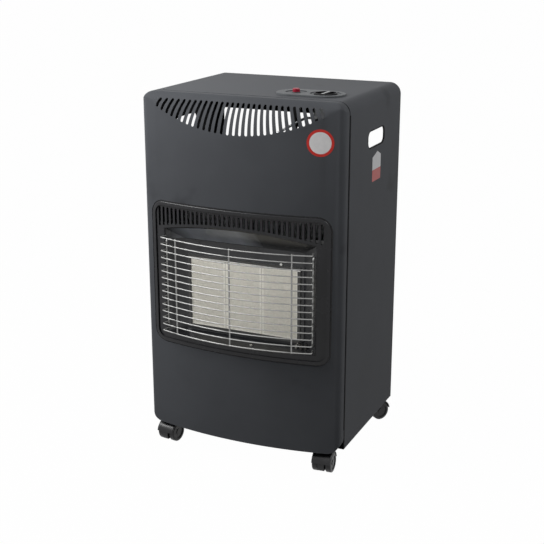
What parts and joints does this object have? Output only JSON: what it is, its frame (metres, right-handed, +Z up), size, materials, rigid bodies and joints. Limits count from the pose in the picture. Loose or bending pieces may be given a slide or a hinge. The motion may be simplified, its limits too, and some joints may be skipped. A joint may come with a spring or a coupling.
{
  "type": "portable gas cabinet heater",
  "caption": "Bowed steel cabinet heater on casters: ceramic plaque burner behind a wire guard, controls on top, bottle bay with a lift-off cover at the back.",
  "frame": {"origin": "on the floor, under the middle of the heater's bounding box", "axes": "+Z up, -Y towards the front with the burner, +X towards the side with the control knob"},
  "size_m": [0.4212, 0.43, 0.7445],
  "materials": {
    "cabinet_paint": "satin anthracite enamel",
    "surround_enamel": "semi-gloss black enamel",
    "reflector_steel": "bright pressed steel, darkened by heat",
    "galvanised": "galvanised sheet",
    "screw_steel": "zinc plated",
    "wire_nickel": "bright nickel plate",
    "plaque_ceramic": "matt perforated ceramic",
    "gasket_fibre": "pressed mineral fibre",
    "brass": "machined",
    "aluminium_cast": "die cast",
    "pipe_metal": "drawn tube",
    "black_plastic": "fine grain",
    "gloss_black": "polished",
    "red_plastic": "polished",
    "white_ceramic": "glazed",
    "lead_rubber": "silicone sleeve"
  },
  "bodies": {
    "cabinet": {"cabinet_shell": "cabinet_paint", "front_panel": "cabinet_paint", "base_plate": "cabinet_paint", "rear_rail": "cabinet_paint", "heat_shield": "galvanised", "rail_screws": "screw_steel", "base_screws": "screw_steel", "burner_surround": "surround_enamel", "reflector": "surround_enamel", "burner_screws": "screw_steel", "burner_box": "galvanised", "plaque_left": "plaque_ceramic", "plaque_middle": "plaque_ceramic", "plaque_right": "plaque_ceramic", "plaque_gasket": "gasket_fibre", "plaque_frame": "reflector_steel", "injectors": "brass", "injector_bracket": "galvanised", "feed_rail": "pipe_metal", "pilot_burner": "screw_steel", "ignition_electrode": "white_ceramic", "thermocouple": "pipe_metal", "ignition_lead": "lead_rubber", "guard": "wire_nickel", "control_bezel": "black_plastic", "piezo_igniter": "black_plastic", "igniter_nut": "black_plastic", "valve_bracket": "galvanised", "gas_valve": "aluminium_cast", "valve_nut": "brass", "hose_nozzle": "brass", "side_burner_pipe": "pipe_metal", "middle_burner_pipe": "pipe_metal", "pilot_pipe": "pipe_metal", "mixing_tube_left": "galvanised", "mixing_tube_middle": "galvanised", "mixing_tube_right": "galvanised", "caster_sockets": "screw_steel"},
    "spindle": {"valve_spindle": "brass"},
    "knob": {"control_knob": "black_plastic"},
    "button": {"igniter_button": "red_plastic"},
    "cover": {"rear_cover": "cabinet_paint"},
    "front_left_caster": {"front_left_caster_hood": "gloss_black", "front_left_caster_axle": "screw_steel"},
    "front_left_inner_wheel": {"front_left_wheel_inner": "gloss_black"},
    "front_left_outer_wheel": {"front_left_wheel_outer": "gloss_black"},
    "front_right_caster": {"front_right_caster_hood": "gloss_black", "front_right_caster_axle": "screw_steel"},
    "front_right_inner_wheel": {"front_right_wheel_inner": "gloss_black"},
    "front_right_outer_wheel": {"front_right_wheel_outer": "gloss_black"},
    "rear_left_caster": {"rear_left_caster_hood": "gloss_black", "rear_left_caster_axle": "screw_steel"},
    "rear_left_inner_wheel": {"rear_left_wheel_inner": "gloss_black"},
    "rear_left_outer_wheel": {"rear_left_wheel_outer": "gloss_black"},
    "rear_right_caster": {"rear_right_caster_hood": "gloss_black", "rear_right_caster_axle": "screw_steel"},
    "rear_right_inner_wheel": {"rear_right_wheel_inner": "gloss_black"},
    "rear_right_outer_wheel": {"rear_right_wheel_outer": "gloss_black"}
  },
  "joints": [
    {"name": "knob_turn", "type": "hinge", "parent": "cabinet", "child": "spindle", "pos_m": [0.137, -0.073, 0.711], "axis": [0, 0, 1], "range_deg": [0, 230]},
    {"name": "knob_press", "type": "slide", "parent": "spindle", "child": "knob", "axis": [0, 0, -1], "range_m": [0, 0.004], "stiffness_N_per_m": 400, "springref_m": -0.002},
    {"name": "igniter_press", "type": "slide", "parent": "cabinet", "child": "button", "axis": [0, 0, -1], "range_m": [0, 0.004], "stiffness_N_per_m": 600, "springref_m": -0.003},
    {"name": "cover_lift", "type": "slide", "parent": "cabinet", "child": "cover", "axis": [0, 0, 1], "range_m": [0, 0.014]},
    {"name": "front_left_swivel", "type": "hinge", "parent": "cabinet", "child": "front_left_caster", "pos_m": [-0.172, -0.128, 0.05], "axis": [0, 0, 1], "continuous": true},
    {"name": "front_left_inner_wheel_spin", "type": "hinge", "parent": "front_left_caster", "child": "front_left_inner_wheel", "pos_m": [-0.16079, -0.14751, 0.02], "axis": [0.9925, -0.1219, 0], "continuous": true},
    {"name": "front_left_outer_wheel_spin", "type": "hinge", "parent": "front_left_caster", "child": "front_left_outer_wheel", "pos_m": [-0.18759, -0.14422, 0.02], "axis": [0.9925, -0.1219, 0], "continuous": true},
    {"name": "front_right_swivel", "type": "hinge", "parent": "cabinet", "child": "front_right_caster", "pos_m": [0.172, -0.128, 0.05], "axis": [0, 0, 1], "continuous": true},
    {"name": "front_right_inner_wheel_spin", "type": "hinge", "parent": "front_right_caster", "child": "front_right_inner_wheel", "pos_m": [0.15979, -0.1469, 0.02], "axis": [0.9976, 0.0698, 0], "continuous": true},
    {"name": "front_right_outer_wheel_spin", "type": "hinge", "parent": "front_right_caster", "child": "front_right_outer_wheel", "pos_m": [0.18672, -0.14501, 0.02], "axis": [0.9976, 0.0698, 0], "continuous": true},
    {"name": "rear_left_swivel", "type": "hinge", "parent": "cabinet", "child": "rear_left_caster", "pos_m": [-0.172, 0.124, 0.05], "axis": [0, 0, 1], "continuous": true},
    {"name": "rear_left_inner_wheel_spin", "type": "hinge", "parent": "rear_left_caster", "child": "rear_left_inner_wheel", "pos_m": [-0.16547, 0.14553, 0.02], "axis": [0.9397, 0.342, 0], "continuous": true},
    {"name": "rear_left_outer_wheel_spin", "type": "hinge", "parent": "rear_left_caster", "child": "rear_left_outer_wheel", "pos_m": [-0.19084, 0.1363, 0.02], "axis": [0.9397, 0.342, 0], "continuous": true},
    {"name": "rear_right_swivel", "type": "hinge", "parent": "cabinet", "child": "rear_right_caster", "pos_m": [0.172, 0.124, 0.05], "axis": [0, 0, 1], "continuous": true},
    {"name": "rear_right_inner_wheel_spin", "type": "hinge", "parent": "rear_right_caster", "child": "rear_right_inner_wheel", "pos_m": [0.17127, 0.14649, 0.02], "axis": [0.8192, -0.5736, 0], "continuous": true},
    {"name": "rear_right_outer_wheel_spin", "type": "hinge", "parent": "rear_right_caster", "child": "rear_right_outer_wheel", "pos_m": [0.19338, 0.131, 0.02], "axis": [0.8192, -0.5736, 0], "continuous": true}
  ]
}
